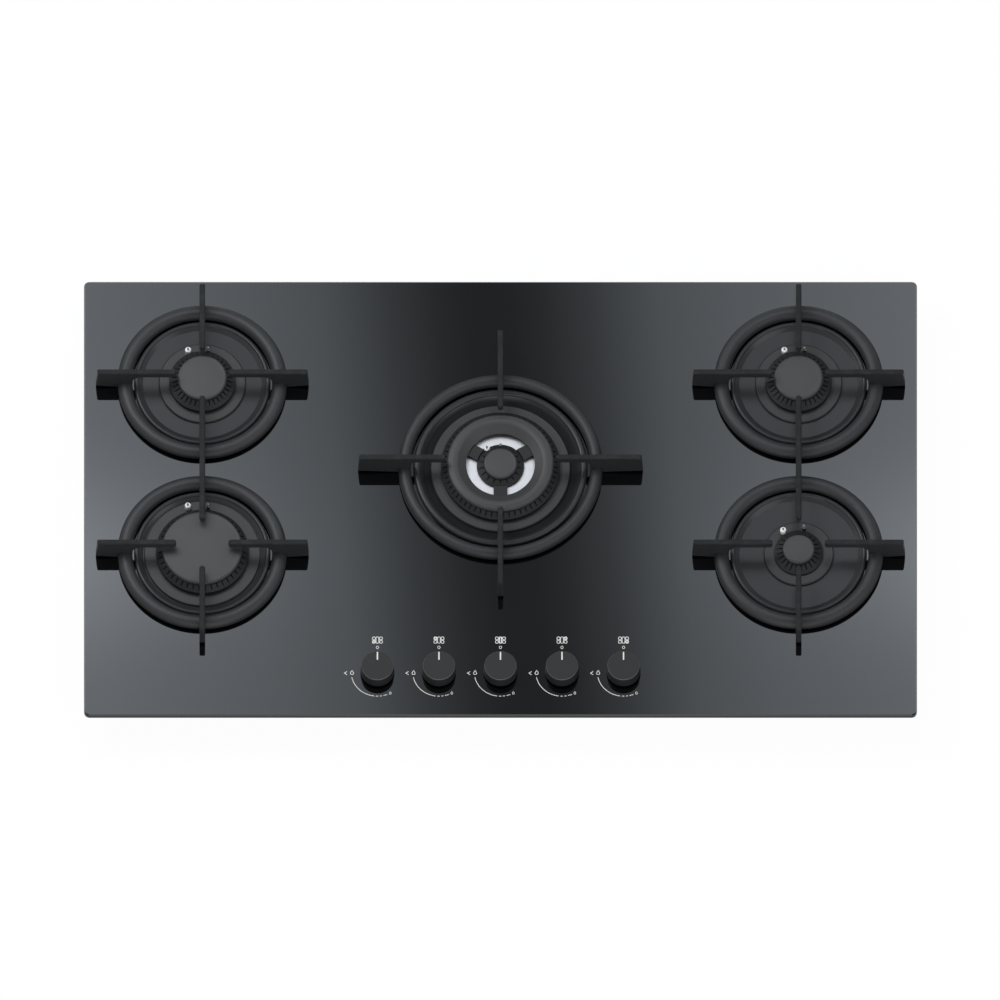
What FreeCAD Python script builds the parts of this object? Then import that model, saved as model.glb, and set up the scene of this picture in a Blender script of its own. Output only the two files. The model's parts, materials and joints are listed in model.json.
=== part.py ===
"""Five-burner gas-on-glass cooktop.

Frame: X to the right, Y to the rear, Z up, millimetres. The origin is under the middle of the
glass, on the flat underside of the steel tray. Every piece is written to parts/NAME.step.
"""
import FreeCAD
import Part
import math
import os
from FreeCAD import Vector

# ---------------------------------------------------------------- glass top
GLASS_WIDTH = 880.0
GLASS_DEPTH = 510.0
GLASS_THICK = 6.0
GLASS_CORNER = 6.0
GLASS_BEVEL = 1.2

# ---------------------------------------------------------------- tray under the glass
CUTOUT_WIDTH = 840.0  # hole in the worktop that the tray drops into
CUTOUT_DEPTH = 480.0
CUTOUT_GAP = 2.0  # from the cut-out's edge to the tray's flange
TRAY_HEIGHT = 40.0
TRAY_FLANGE = 8.0
TRAY_CORNER = 14.0
TRAY_BEND = 3.0
SHEET = 1.2
SEAL_WIDTH = 9.0
SEAL_THICK = 2.0
SEAL_INSET = 3.0  # from the glass edge

# ---------------------------------------------------------------- burner places
SIDE_X = 315.0
REAR_Y = 133.5
BURNER_PITCH = 200.0  # from a side's rear burner to its front one
FRONT_Y = REAR_Y - BURNER_PITCH
CENTRE_Y = REAR_Y - BURNER_PITCH / 2

# ---------------------------------------------------------------- burners: heights above the glass
DISH_SHEET = 1.0
COLLAR_THICK = 3.0
CAP_TOP = 19.0
SMALL_CAP_TOP = 16.0
INNER_CAP_TOP = 17.5
CAP_THICK = 5.0
CAP_DOME = 0.5
SLOT_DEPTH = 4.0
SLOT_WIDTH = 1.2
CAP_PLAY = 0.3  # round each loose piece that drops into a seat
CUP_WALL = 3.0
SKIRT_WALL = 2.2
SKIRT_DROP = 6.0
SEAT_LAND = 6.0  # flat ring of the crown that carries the cap
BOSS_RADIUS = 18.0
LUG_REACH = 29.0
LUG_THICK = 4.0
WELL_RADIUS = 7.5
PORT_LENGTH = 10.0  # of the gas port, out of the boss
CUP_STEP = 3.0  # from the cup's shoulder up to the glass

# ---------------------------------------------------------------- igniters and flame probes
CERAMIC_RADIUS = 3.2
PIN_RADIUS = 1.1
PROBE_RADIUS = 2.2
CERAMIC_TOP = 11.0  # above the glass
PIN_TOP = 14.0
PROBE_TOP = 14.5
NOTCH_PLAY = 0.4

# ---------------------------------------------------------------- pan supports
SUPPORT_TOP = 32.0  # above the glass
FIN_THICK = 6.0
FIN_BAR = 8.0  # height of the slim inner bar
FIN_EDGE = 1.4
FIN_NOSE = 1.8  # rounding of the outer top corner
RING_LIFT = 3.0
RING_HEIGHT = 9.5
RING_EDGE = 4.0  # height of the ring's upright sides
FIN_LIFT = 1.6  # gap under the plate beside the ring
FIN_RISE = 3.0  # more gap under its outer end
FIN_LEAN = 1.5  # the outer end stands out this much more at its foot
FOOT_RADIUS = 4.5
FOOT_PEG = 2.4
FOOT_PEG_HEIGHT = 4.0

# ---------------------------------------------------------------- knobs and taps
KNOB_COUNT = 5
KNOB_PITCH = 65.0
KNOB_Y = -204.5
KNOB_RADIUS = 18.0
KNOB_TAPER = 1.0
KNOB_TOP = 17.0  # above the glass
KNOB_GAP = 3.6
KNOB_WALL = 2.2
KNOB_ROOF = 3.0
KNOB_CHAMFER = 0.8
HUB_RADIUS = 7.0
HUB_RECESS = 1.4
KNOB_HOLE = 9.0
PUSH_TRAVEL = 3.0
STEM_RADIUS = 3.95
STEM_FLAT = 2.9
STEM_PLAY = 0.05
PLUG_RADIUS = 6.0
PLUG_PLAY = 0.05
PLUG_HEIGHT = 25.5
TAP_RADIUS = 11.0
TAP_FLOOR = 5.0
BONNET_THICK = 3.0
BONNET_PLAY = 0.2

# ---------------------------------------------------------------- gas way
RAIL_Y = -181.0
RAIL_Z = 16.0
RAIL_RADIUS = 7.0
RAIL_BORE = 5.6
RAIL_START_X = -152.0
RAIL_TURN_X = 190.0
RAIL_BEND = 24.0
SADDLE_WIDTH = 16.0
SADDLE_WALL = 3.0
PIPE_Z = 27.0
PIPE_RADIUS = 3.0
PIPE_BEND = 14.0
PIPE_LANE = 42.0  # sidestep of the rear burners' pipes past the middle burner
PORT_RADIUS = 5.0
INLET_RADIUS = 10.48  # G 1/2 thread
INLET_BORE = 6.0
INLET_LENGTH = 16.0
INLET_HEX = 22.0
INLET_NUT = 5.0
GLAND_X = -230.0
GLAND_Z = 16.0
GLAND_RADIUS = 8.0
GLAND_NECK = 6.0  # through the tray wall
GLAND_BORE = 3.5  # through the sealing ring
GLAND_WAY = 4.6  # behind it

# ---------------------------------------------------------------- rails, screws, clips, module
BAR_TOP = 12.0
BAR_WIDTH = 92.0
BAR_FOOT = 10.0
BAR_OVERHANG = 40.0
SCREW_RADIUS = 2.0
SCREW_HEAD = 3.6
SCREW_HEAD_HEIGHT = 2.4
CLIP_WIDTH = 18.0
CLIP_HEIGHT = 24.0
CLIP_SHEET = 0.8
CLIP_BOW = 6.5
CLIP_SPAN = 300.0
MODULE_SIZE = (74.0, 40.0, 22.0)
MODULE_PLACE = (-170.0, 190.0)
MODULE_CORNER = 3.0

# ---------------------------------------------------------------- worked-out levels
GLASS_UNDER = TRAY_HEIGHT
GLASS_UP = TRAY_HEIGHT + GLASS_THICK
DISH_FLOOR = GLASS_UP + DISH_SHEET
COLLAR_TOP = DISH_FLOOR + COLLAR_THICK
WELL_FLOOR = PIPE_Z + 3.0
PROBE_FOOT = BAR_TOP + LUG_THICK + SCREW_HEAD_HEIGHT + 2.0
TRAY_WIDTH = CUTOUT_WIDTH - 2 * (CUTOUT_GAP + TRAY_FLANGE)
TRAY_DEPTH = CUTOUT_DEPTH - 2 * (CUTOUT_GAP + TRAY_FLANGE)
REAR_WALL = TRAY_DEPTH / 2
FIN_TOP = GLASS_UP + SUPPORT_TOP
FIN_BAR_LOW = FIN_TOP - FIN_BAR
UP = Vector(0, 0, 1)


class Burner:
    """One burner: its place, the radii of its rings and the ring of the pan support round it."""

    def __init__(self, name, x, y, cap, crown, collar, dish, slots, igniter, probe, cap_top=CAP_TOP):
        self.name = name
        self.x = x
        self.y = y
        self.cap = cap
        self.crown = crown
        self.collar = collar
        self.dish = dish  # radii: floor, slope end, rim end
        self.slots = slots
        self.igniter = igniter  # place from the burner's centre
        self.probe = probe
        self.cap_top = GLASS_UP + cap_top
        self.seat = self.cap_top - CAP_THICK
        self.hole = collar - 2.6  # hole in the glass and in the dish
        self.body = crown - 2.0  # outer radius of the cup below the collar
        self.chamber = self.body - CUP_WALL

    def place(self, shape):
        shape.translate(Vector(self.x, self.y, 0))
        return shape


SIDE_DISH = (62.7, 67.0, 72.0)
CENTRE_DISH = (80.0, 84.5, 92.0)
BURNERS = [
    Burner("rear_left", -SIDE_X, REAR_Y, 26.2, 35.0, 46.0, SIDE_DISH, 36, (-15.0, 36.3), (6.0, 37.1)),
    Burner("front_left", -SIDE_X, FRONT_Y, 42.6, 49.0, 61.6, SIDE_DISH, 44, (-15.3, 53.5), (6.0, 53.0)),
    Burner("centre", 0.0, CENTRE_Y, 56.8, 63.0, 74.0, CENTRE_DISH, 60, (-14.4, 20.8), (0.0, 23.0)),
    Burner("rear_right", SIDE_X, REAR_Y, 26.2, 35.0, 46.0, SIDE_DISH, 36, (-15.0, 36.3), (6.0, 37.1)),
    Burner("front_right", SIDE_X, FRONT_Y, 17.2, 26.0, 37.0, SIDE_DISH, 24, (-16.4, 24.7), (5.5, 28.1),
           SMALL_CAP_TOP),
]
CENTRE = BURNERS[2]

# the double crown in the middle
INNER_CAP = 18.0
INNER_CROWN = 25.0
INNER_SLOTS = 18
RING_CAP_BORE = 36.3
RING_CAP_CREST = 50.0
BRIDGE_WIDTH = 14.5
BRIDGE_ANGLES = (30.0, 150.0, 270.0)
BRIDGE_HEIGHT = 4.5
PLATE_HEIGHT = 3.0


# ================================================================ drawing helpers
def outline(start, *steps):
    """Closed face in the XZ plane. A step is a point, or a pair: a point on an arc and its end."""
    edges = []
    here = Vector(start[0], 0, start[1])
    first = here
    for step in steps:
        if isinstance(step[0], tuple):
            on, end = Vector(step[0][0], 0, step[0][1]), Vector(step[1][0], 0, step[1][1])
            edges.append(Part.Arc(here, on, end).toShape())
        else:
            end = Vector(step[0], 0, step[1])
            edges.append(Part.LineSegment(here, end).toShape())
        here = end
    if here.distanceToPoint(first) > 1e-6:
        edges.append(Part.LineSegment(here, first).toShape())
    return Part.Face(Part.Wire(edges))


def turned(start, *steps):
    """Solid of revolution about the Z axis through the origin."""
    return outline(start, *steps).revolve(Vector(0, 0, 0), UP, 360)


def dome(radius, rise, top):
    """Arc step from the given radius up to the axis at height top, part of a ball on the axis."""
    ball = (radius ** 2 + rise ** 2) / (2 * rise)
    half = math.asin(radius / ball) / 2
    return (ball * math.sin(half), top - ball * (1 - math.cos(half))), (0, top)


def plate(thick, start, *steps):
    """The outline as a plate, its middle plane on XZ."""
    solid = outline(start, *steps).extrude(Vector(0, thick, 0))
    solid.translate(Vector(0, -thick / 2, 0))
    return solid


def rod(radius, x, y, low, high):
    """Upright cylinder."""
    return Part.makeCylinder(radius, high - low, Vector(x, y, low))


def block(x0, x1, y0, y1, z0, z1):
    return Part.makeBox(x1 - x0, y1 - y0, z1 - z0, Vector(x0, y0, z0))


def rounded_block(width, depth, low, high, corner):
    """Block centred on the Z axis, its upright edges rounded."""
    solid = block(-width / 2, width / 2, -depth / 2, depth / 2, low, high)
    upright = [e for e in solid.Edges if abs(e.BoundBox.ZLength - (high - low)) < 1e-6]
    return solid.makeFillet(corner, upright)


def level_edges(solid, z, shortest=0.0):
    """Edges that lie flat at height z and are longer than shortest."""
    return [e for e in solid.Edges
            if abs(e.BoundBox.ZMin - z) < 1e-4 and abs(e.BoundBox.ZMax - z) < 1e-4
            and e.Length > shortest]


def about_y(shape, x, y, z):
    """Turns a shape made along +Z so that it runs along +Y from the given point."""
    shape.rotate(Vector(0, 0, 0), Vector(1, 0, 0), -90)
    shape.translate(Vector(x, y, z))
    return shape


def hexagon(flats, low, high):
    """Upright hexagonal prism on the Z axis."""
    corner = flats / math.sqrt(3)
    ring = [Vector(corner * math.cos(math.radians(60 * i)), corner * math.sin(math.radians(60 * i)), low)
            for i in range(7)]
    return Part.Face(Part.makePolygon(ring)).extrude(Vector(0, 0, high - low))


def tube_path(points, bend):
    """Wire through the points, each inner corner rounded with an arc of the given radius."""
    points = [Vector(*p) for p in points]
    edges = []
    here = points[0]
    for before, corner, after in zip(points, points[1:], points[2:]):
        back = (before - corner).normalize()
        on = (after - corner).normalize()
        half = back.getAngle(on) / 2
        cut = bend / math.tan(half)
        start, end = corner + back * cut, corner + on * cut
        middle = corner + (back + on).normalize() * (bend / math.sin(half) - bend)
        edges.append(Part.LineSegment(here, start).toShape())
        edges.append(Part.Arc(start, middle, end).toShape())
        here = end
    edges.append(Part.LineSegment(here, points[-1]).toShape())
    return Part.Wire(edges)


def tube(points, radius, bend):
    """Round bar along the points."""
    path = tube_path(points, bend)
    first = Vector(*points[0])
    along = (Vector(*points[1]) - first).normalize()
    section = Part.Wire(Part.makeCircle(radius, first, along))
    return path.makePipeShell([section], True, True)


def ring_of(shape, count, start=0.0):
    """Copies of a shape in equal steps round the Z axis."""
    copies = []
    for i in range(count):
        copy = shape.copy()
        copy.rotate(Vector(0, 0, 0), UP, start + 360.0 * i / count)
        copies.append(copy)
    return copies


def export(name, *solids):
    """Writes one piece, or a group of like pieces, to its file."""
    shape = solids[0] if len(solids) == 1 else Part.makeCompound(list(solids))
    shape.exportStep(f"parts/{name}.step")
    print(f"{name:24s} solids {len(shape.Solids)}  volume {shape.Volume:10.0f}  valid {shape.isValid()}")


# ================================================================ glass, tray and seal
def knob_places():
    middle = (KNOB_COUNT - 1) / 2
    return [((i - middle) * KNOB_PITCH, KNOB_Y) for i in range(KNOB_COUNT)]


def glass_top():
    glass = rounded_block(GLASS_WIDTH, GLASS_DEPTH, GLASS_UNDER, GLASS_UP, GLASS_CORNER)
    glass = glass.makeChamfer(GLASS_BEVEL, level_edges(glass, GLASS_UP))
    holes = [rod(b.hole, b.x, b.y, GLASS_UNDER, GLASS_UP) for b in BURNERS]
    holes += [rod(KNOB_HOLE, x, y, GLASS_UNDER, GLASS_UP) for x, y in knob_places()]
    return glass.cut(holes)


def burner_box():
    """Pressed tray: rounded bottom edge, flange turned out under the glass, two ports in the rear."""
    body = rounded_block(TRAY_WIDTH, TRAY_DEPTH, 0, TRAY_HEIGHT, TRAY_CORNER)
    body = body.makeFillet(TRAY_BEND, level_edges(body, 0))
    room = rounded_block(TRAY_WIDTH - 2 * SHEET, TRAY_DEPTH - 2 * SHEET, SHEET, TRAY_HEIGHT,
                         TRAY_CORNER - SHEET)
    room = room.makeFillet(TRAY_BEND - SHEET, level_edges(room, SHEET))
    flange = rounded_block(TRAY_WIDTH + 2 * TRAY_FLANGE, TRAY_DEPTH + 2 * TRAY_FLANGE,
                           TRAY_HEIGHT - SHEET, TRAY_HEIGHT, TRAY_CORNER + TRAY_FLANGE)
    ports = [about_y(Part.makeCylinder(INLET_RADIUS, 4 * SHEET), RAIL_TURN_X, REAR_WALL - 3 * SHEET, RAIL_Z),
             about_y(Part.makeCylinder(GLAND_NECK, 4 * SHEET), GLAND_X, REAR_WALL - 3 * SHEET, GLAND_Z)]
    return body.fuse(flange).cut([room] + ports)


def worktop_seal():
    """Foam strip under the glass edge."""
    low, high = GLASS_UNDER - SEAL_THICK, GLASS_UNDER
    outer = rounded_block(GLASS_WIDTH - 2 * SEAL_INSET, GLASS_DEPTH - 2 * SEAL_INSET, low, high, GLASS_CORNER)
    inset = SEAL_INSET + SEAL_WIDTH
    return outer.cut(block(-GLASS_WIDTH / 2 + inset, GLASS_WIDTH / 2 - inset,
                           -GLASS_DEPTH / 2 + inset, GLASS_DEPTH / 2 - inset, low, high))


# ================================================================ carriers inside the tray
def port_direction(burner):
    """The side of a cup that its feed pipe comes to."""
    if burner is CENTRE:
        return Vector(0, -1, 0)
    return Vector(-math.copysign(1, burner.x), 0, 0)


def lug_places(burner):
    """The two screws of a cup, on the line square to its gas port."""
    way = port_direction(burner)
    reach = LUG_REACH - SCREW_HEAD - 1
    return [(burner.x + side * reach * way.y, burner.y + side * reach * way.x) for side in (-1, 1)]


def burner_rails():
    """Three hat-section bars on the tray floor, with a screw hole for each lug."""
    half, foot = BAR_WIDTH / 2, BAR_FOOT
    rails = []
    for x in sorted({b.x for b in BURNERS}):
        mine = [b for b in BURNERS if b.x == x]
        start = min(b.y for b in mine) - BAR_OVERHANG
        end = max(b.y for b in mine) + BAR_OVERHANG
        hat = outline((-half, SHEET), (-half, 2 * SHEET), (-half + foot, 2 * SHEET),
                      (-half + 1.5 * foot, BAR_TOP), (half - 1.5 * foot, BAR_TOP),
                      (half - foot, 2 * SHEET), (half, 2 * SHEET), (half, SHEET),
                      (half - foot - SHEET, SHEET), (half - 1.5 * foot - SHEET, BAR_TOP - SHEET),
                      (-half + 1.5 * foot + SHEET, BAR_TOP - SHEET), (-half + foot + SHEET, SHEET))
        bar = hat.extrude(Vector(0, end - start, 0))
        bar.translate(Vector(x, start, 0))
        holes = [rod(SCREW_RADIUS, *place, 0, BAR_TOP + 1) for b in mine for place in lug_places(b)]
        rails.append(bar.cut(holes))
    return rails


def screws():
    heads = []
    for burner in BURNERS:
        for x, y in lug_places(burner):
            top = BAR_TOP + LUG_THICK
            head = rod(SCREW_HEAD, x, y, top, top + SCREW_HEAD_HEIGHT)
            heads.append(head.fuse(rod(SCREW_RADIUS, x, y, BAR_TOP - 3 * SHEET, top)).removeSplitter())
    return heads


def worktop_clips():
    """Bowed spring strips on the tray walls that grip the sides of the cut-out."""
    low = (GLASS_UNDER - CLIP_HEIGHT) / 2
    middle, high = low + CLIP_HEIGHT / 2, low + CLIP_HEIGHT
    strip = plate(CLIP_WIDTH, (0, low), (0, low + 3 * CLIP_SHEET),
                  ((CLIP_BOW, middle), (0, high - 3 * CLIP_SHEET)), (0, high), (CLIP_SHEET, high),
                  (CLIP_SHEET, high - 3 * CLIP_SHEET),
                  ((CLIP_BOW + CLIP_SHEET, middle), (CLIP_SHEET, low + 3 * CLIP_SHEET)), (CLIP_SHEET, low))
    clips = []
    for angle, reach in ((0, TRAY_WIDTH / 2), (180, TRAY_WIDTH / 2), (90, TRAY_DEPTH / 2), (270, TRAY_DEPTH / 2)):
        for side in (-1, 1):
            clip = strip.copy()
            along = side * (CLIP_SPAN / 2 if angle % 180 else CLIP_SPAN / 4)
            clip.translate(Vector(reach, along, 0))
            clip.rotate(Vector(0, 0, 0), UP, angle)
            clips.append(clip)
    return clips


# ================================================================ one burner
def drip_dish(burner):
    """Spill dish: flat floor, sloping band and a rolled rim that comes back down to the glass."""
    floor, slope, rim = burner.dish
    roll = rim - slope
    up = DISH_FLOOR + 0.55 * roll
    t = DISH_SHEET
    return burner.place(turned(
        (burner.hole, DISH_FLOOR), (floor, DISH_FLOOR), (slope, up),
        ((slope + 0.56 * roll, up + 0.3 * roll), (rim, DISH_FLOOR + 0.2 * roll)), (rim, GLASS_UP),
        (rim - t, GLASS_UP), (rim - t, DISH_FLOOR),
        ((slope + 0.5 * roll, up + 0.3 * roll - t), (slope + 0.35 * t, up - t)),
        (floor + 0.5 * t, GLASS_UP), (burner.hole, GLASS_UP)))


def burner_cup(burner):
    """Cast cup: collar over the dish, chamber, boss on the rail, two lugs and the gas port."""
    body, chamber = burner.body, burner.chamber
    step = GLASS_UNDER - CUP_STEP
    cup = turned((0, BAR_TOP), (BOSS_RADIUS, BAR_TOP), (BOSS_RADIUS, PIPE_Z + PORT_RADIUS),
                 (body, step), (body, DISH_FLOOR), (burner.collar, DISH_FLOOR),
                 (burner.collar, COLLAR_TOP - 1), (burner.collar - 1, COLLAR_TOP),
                 (chamber, COLLAR_TOP), (chamber, step + CUP_WALL), (WELL_RADIUS, step + CUP_WALL - 1.5),
                 (WELL_RADIUS, WELL_FLOOR), (0, WELL_FLOOR))
    centre, way = Vector(0, 0, PIPE_Z), port_direction(burner)
    port = Part.makeCylinder(PORT_RADIUS, BOSS_RADIUS + PORT_LENGTH, centre, way)
    width, reach = 2 * SCREW_HEAD + 3, 2 * LUG_REACH
    size = (width, reach) if way.x else (reach, width)
    lug = block(-size[0] / 2, size[0] / 2, -size[1] / 2, size[1] / 2, BAR_TOP, BAR_TOP + LUG_THICK)
    bores = [Part.makeCylinder(PIPE_RADIUS - 1, BOSS_RADIUS + PORT_LENGTH, centre, way),
             rod(PIPE_RADIUS - 1, 0, 0, PIPE_Z, WELL_FLOOR),
             rod(WELL_RADIUS, 0, 0, WELL_FLOOR, PIPE_Z + PORT_RADIUS)]
    solid = burner.place(cup.fuse([port, lug]).cut(bores))
    holes = [rod(SCREW_RADIUS, *place, BAR_TOP, BAR_TOP + LUG_THICK) for place in lug_places(burner)]
    for radius, (x, y) in ((CERAMIC_RADIUS, burner.igniter), (PROBE_RADIUS, burner.probe)):
        holes.append(rod(radius, burner.x + x, burner.y + y, BAR_TOP + LUG_THICK, FIN_TOP))
    return solid.cut(holes)


def injector(burner):
    """Brass jet on the floor of the cup's well."""
    low = WELL_FLOOR
    jet = hexagon(9.0, low, low + 5).fuse(turned((0, low + 5), (3.2, low + 5), (2.2, low + 9), (0, low + 9)))
    return burner.place(jet.removeSplitter().cut(rod(0.8, 0, 0, low, low + 9)))


def flame_slots(inner, outer, low, high, count):
    """Radial cutters, left out round the places given by the pattern's start."""
    slot = block(inner, outer, -SLOT_WIDTH / 2, SLOT_WIDTH / 2, low, high)
    return ring_of(slot, count, 180.0 / count)


def crown(cap, radius, seat, slots, chamber):
    """Flame spreader: skirt that drops into the cup, sloping shoulder with flame slots, cap seat."""
    bore = cap - SEAT_LAND
    skirt = chamber - CAP_PLAY
    solid = turned((skirt - SKIRT_WALL, COLLAR_TOP - SKIRT_DROP), (skirt, COLLAR_TOP - SKIRT_DROP),
                   (skirt, COLLAR_TOP), (radius, COLLAR_TOP), (radius, seat - SLOT_DEPTH - 1),
                   (cap + 0.6, seat), (bore, seat), (bore, COLLAR_TOP + 2),
                   (skirt - SKIRT_WALL, COLLAR_TOP))
    return solid.cut(flame_slots(bore - 1, radius + 1, seat - SLOT_DEPTH, seat + 1, slots))


def round_cap(cap, seat, top):
    """Enamelled cap: rounded edge, slightly domed top and a locating rim underneath."""
    edge = (top - seat) * 0.55
    bore = cap - SEAT_LAND - CAP_PLAY
    return turned((0, seat), (bore - 2, seat), (bore - 2, seat - 2), (bore, seat - 2), (bore, seat),
                  (cap, seat), (cap, top - edge),
                  ((cap - 0.3 * edge, top - 0.4 * edge), (cap - 1.2 * edge, top - CAP_DOME)),
                  dome(cap - 1.2 * edge, CAP_DOME, top))


def flame_spreader(burner):
    solid = crown(burner.cap, burner.crown, burner.seat, burner.slots, burner.chamber)
    return burner.place(solid)


def burner_cap(burner):
    return burner.place(round_cap(burner.cap, burner.seat, burner.cap_top))


# ================================================================ double crown in the middle
def centre_notches():
    """Room for the igniter and the probe, which stand inside the double crown."""
    return [rod(CERAMIC_RADIUS + NOTCH_PLAY, *CENTRE.igniter, 0, GLASS_UP + 40),
            rod(PROBE_RADIUS + NOTCH_PLAY, *CENTRE.probe, 0, GLASS_UP + 40)]


def ring_crown():
    """Outer crown with flame slots outside, joined to the middle by three bridges."""
    seat, skirt = CENTRE.seat, CENTRE.chamber - CAP_PLAY
    inner = RING_CAP_BORE + 2
    bore = CENTRE.cap - SEAT_LAND
    solid = turned((skirt - SKIRT_WALL, COLLAR_TOP - SKIRT_DROP), (skirt, COLLAR_TOP - SKIRT_DROP),
                   (skirt, COLLAR_TOP), (CENTRE.crown, COLLAR_TOP), (CENTRE.crown, seat - SLOT_DEPTH - 1),
                   (CENTRE.cap + 0.6, seat), (bore, seat), (bore, COLLAR_TOP + 3),
                   (inner + 3, COLLAR_TOP + 3), (inner + 3, seat - 3), (inner, seat - 3),
                   (inner, COLLAR_TOP), (skirt - SKIRT_WALL, COLLAR_TOP))
    solid = solid.cut(flame_slots(bore - 1, CENTRE.crown + 1, seat - SLOT_DEPTH, seat + 1, CENTRE.slots))
    low = COLLAR_TOP + PLATE_HEIGHT
    arm = block(INNER_CROWN - 2, inner + 1, -BRIDGE_WIDTH / 2, BRIDGE_WIDTH / 2, low, low + BRIDGE_HEIGHT)
    for angle in BRIDGE_ANGLES:
        bridge = arm.copy()
        bridge.rotate(Vector(0, 0, 0), UP, angle)
        solid = solid.fuse(bridge)
    return CENTRE.place(solid.cut([rod(INNER_CROWN, 0, 0, 0, GLASS_UP + 40)] + centre_notches()))


def mixing_plate():
    """Bright cast plate that shows between the bridges."""
    inner, outer = INNER_CROWN - 6, RING_CAP_BORE + 2
    solid = turned((inner, COLLAR_TOP - 3), (CENTRE.chamber - SKIRT_WALL - 1, COLLAR_TOP - 3),
                   (CENTRE.chamber - SKIRT_WALL - 1, COLLAR_TOP), (outer, COLLAR_TOP),
                   (outer, COLLAR_TOP + PLATE_HEIGHT),
                   (inner, COLLAR_TOP + PLATE_HEIGHT))
    return CENTRE.place(solid.cut(centre_notches()))


def inner_spreader():
    """Small slotted crown on the middle of the plate."""
    seat = GLASS_UP + INNER_CAP_TOP - CAP_THICK
    low = COLLAR_TOP + PLATE_HEIGHT
    bore = INNER_CAP - SEAT_LAND
    solid = turned((bore, low), (INNER_CROWN, low), (INNER_CROWN, seat - SLOT_DEPTH + 1),
                   (INNER_CAP + 0.6, seat), (bore, seat))
    cuts = flame_slots(bore - 1, INNER_CROWN + 1, seat - SLOT_DEPTH + 1.5, seat + 1, INNER_SLOTS)
    return CENTRE.place(solid.cut(cuts + centre_notches()))


def inner_cap():
    top = GLASS_UP + INNER_CAP_TOP
    return CENTRE.place(round_cap(INNER_CAP, top - CAP_THICK, top))


def ring_cap():
    """Ring-shaped cap: crest near its outer side and a long slope down into the middle."""
    seat, top, cap = CENTRE.seat, CENTRE.cap_top, CENTRE.cap
    lip = seat - 2.4
    land = cap - SEAT_LAND - CAP_PLAY
    return CENTRE.place(turned(
        (RING_CAP_BORE, lip), (RING_CAP_BORE, lip + 1.4), (RING_CAP_CREST - 5, top - 0.9),
        ((RING_CAP_CREST - 1, top), (RING_CAP_CREST + 3, top - 0.6)),
        ((cap - 0.8, top - 1.8), (cap, seat + 1.4)), (cap, seat), (land, seat), (land, seat - 2),
        (land - 2, seat - 2), (land - 2, seat), (RING_CAP_CREST - 6, seat), (RING_CAP_BORE + 1.6, lip)))


# ================================================================ igniters and flame probes
def igniter_ceramic(burner):
    low, top = PROBE_FOOT + 4, GLASS_UP + CERAMIC_TOP
    body = turned((PIN_RADIUS, low), (CERAMIC_RADIUS, low), (CERAMIC_RADIUS, top - 0.8),
                  (CERAMIC_RADIUS - 0.8, top), (PIN_RADIUS, top))
    body.translate(Vector(*burner.igniter, 0))
    return burner.place(body)


def igniter_pin(burner):
    top = GLASS_UP + PIN_TOP
    pin = turned((0, PROBE_FOOT), (PIN_RADIUS, PROBE_FOOT), (PIN_RADIUS, top - 1), (0, top))
    pin.translate(Vector(*burner.igniter, 0))
    return burner.place(pin)


def flame_probe(burner):
    top = GLASS_UP + PROBE_TOP
    probe = turned((0, PROBE_FOOT), (PROBE_RADIUS, PROBE_FOOT), (PROBE_RADIUS, top - 4),
                   (PROBE_RADIUS - 0.6, top - 3.4), (PROBE_RADIUS - 0.6, top - 1),
                   dome(PROBE_RADIUS - 0.6, 1.0, top))
    probe.translate(Vector(*burner.probe, 0))
    return burner.place(probe)


# ================================================================ pan supports
class Support:
    """Sizes of one kind of pan support ring and of its fins, radii from the burner's axis."""

    def __init__(self, inner, outer, fin_start, hollow, fin_end):
        self.inner = inner
        self.outer = outer
        self.fin_start = fin_start
        self.hollow = hollow  # width and height of the hollow under the slim bar
        self.fin_end = fin_end  # at the top edge


SIDE_SUPPORT = Support(73.9, 89.4, 27.6, (9.0, 13.0), 111.0)
CENTRE_SUPPORT = Support(94.8, 108.0, 58.2, (5.0, 8.0), 149.0)
SHORT_END = 103.5  # reach of the side supports' fins towards the front and the rear


def support_ring(kind):
    """Crowned flat bar bent to a ring, with blind holes for its four rubber feet."""
    low = GLASS_UP + RING_LIFT
    side, top = low + RING_EDGE, low + RING_HEIGHT
    middle = (kind.inner + kind.outer) / 2
    half = (kind.outer - kind.inner) / 2
    ring = turned((kind.inner + 1, low), (kind.outer - 1, low), (kind.outer, low + 1), (kind.outer, side),
                  ((middle + 0.62 * half, side + 0.72 * (top - side)), (middle, top)),
                  ((middle - 0.62 * half, side + 0.72 * (top - side)), (kind.inner, side)),
                  (kind.inner, low + 1))
    peg = rod(FOOT_PEG, middle, 0, low, low + FOOT_PEG_HEIGHT)
    return ring.cut(ring_of(peg, 4, 45))


def fin_profile(kind, end):
    """Side view of a fin, from the slim inner bar out to the upright outer end, as steps for outline()."""
    start = kind.fin_start + FIN_THICK / 2
    low = GLASS_UP + FIN_LIFT
    foot = low + FIN_RISE
    width, height = kind.hollow
    corner, hollow = kind.inner - width, FIN_BAR_LOW - height
    share = math.sqrt(0.5)
    return ((start, FIN_BAR_LOW), (corner, FIN_BAR_LOW),
            ((corner + share * width, hollow + share * height), (kind.inner, hollow)),
            (kind.inner, low + RING_LIFT), (kind.inner + 4, low), (kind.outer + 1, low), (end + FIN_LEAN, foot),
            ((end + 0.6 * FIN_LEAN, (FIN_TOP + foot) / 2), (end, FIN_TOP)), (start, FIN_TOP))


def round_tip(fin, x):
    """Adds the half-round inner tip of a bar, its axis at x."""
    return fin.fuse(rod(FIN_THICK / 2, x, 0, FIN_BAR_LOW, FIN_TOP)).removeSplitter()


def softened(fin):
    """Rounds the long top edges and all that runs on from them."""
    return fin.makeFillet(FIN_EDGE, level_edges(fin, FIN_TOP, 4 * FIN_THICK))


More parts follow.
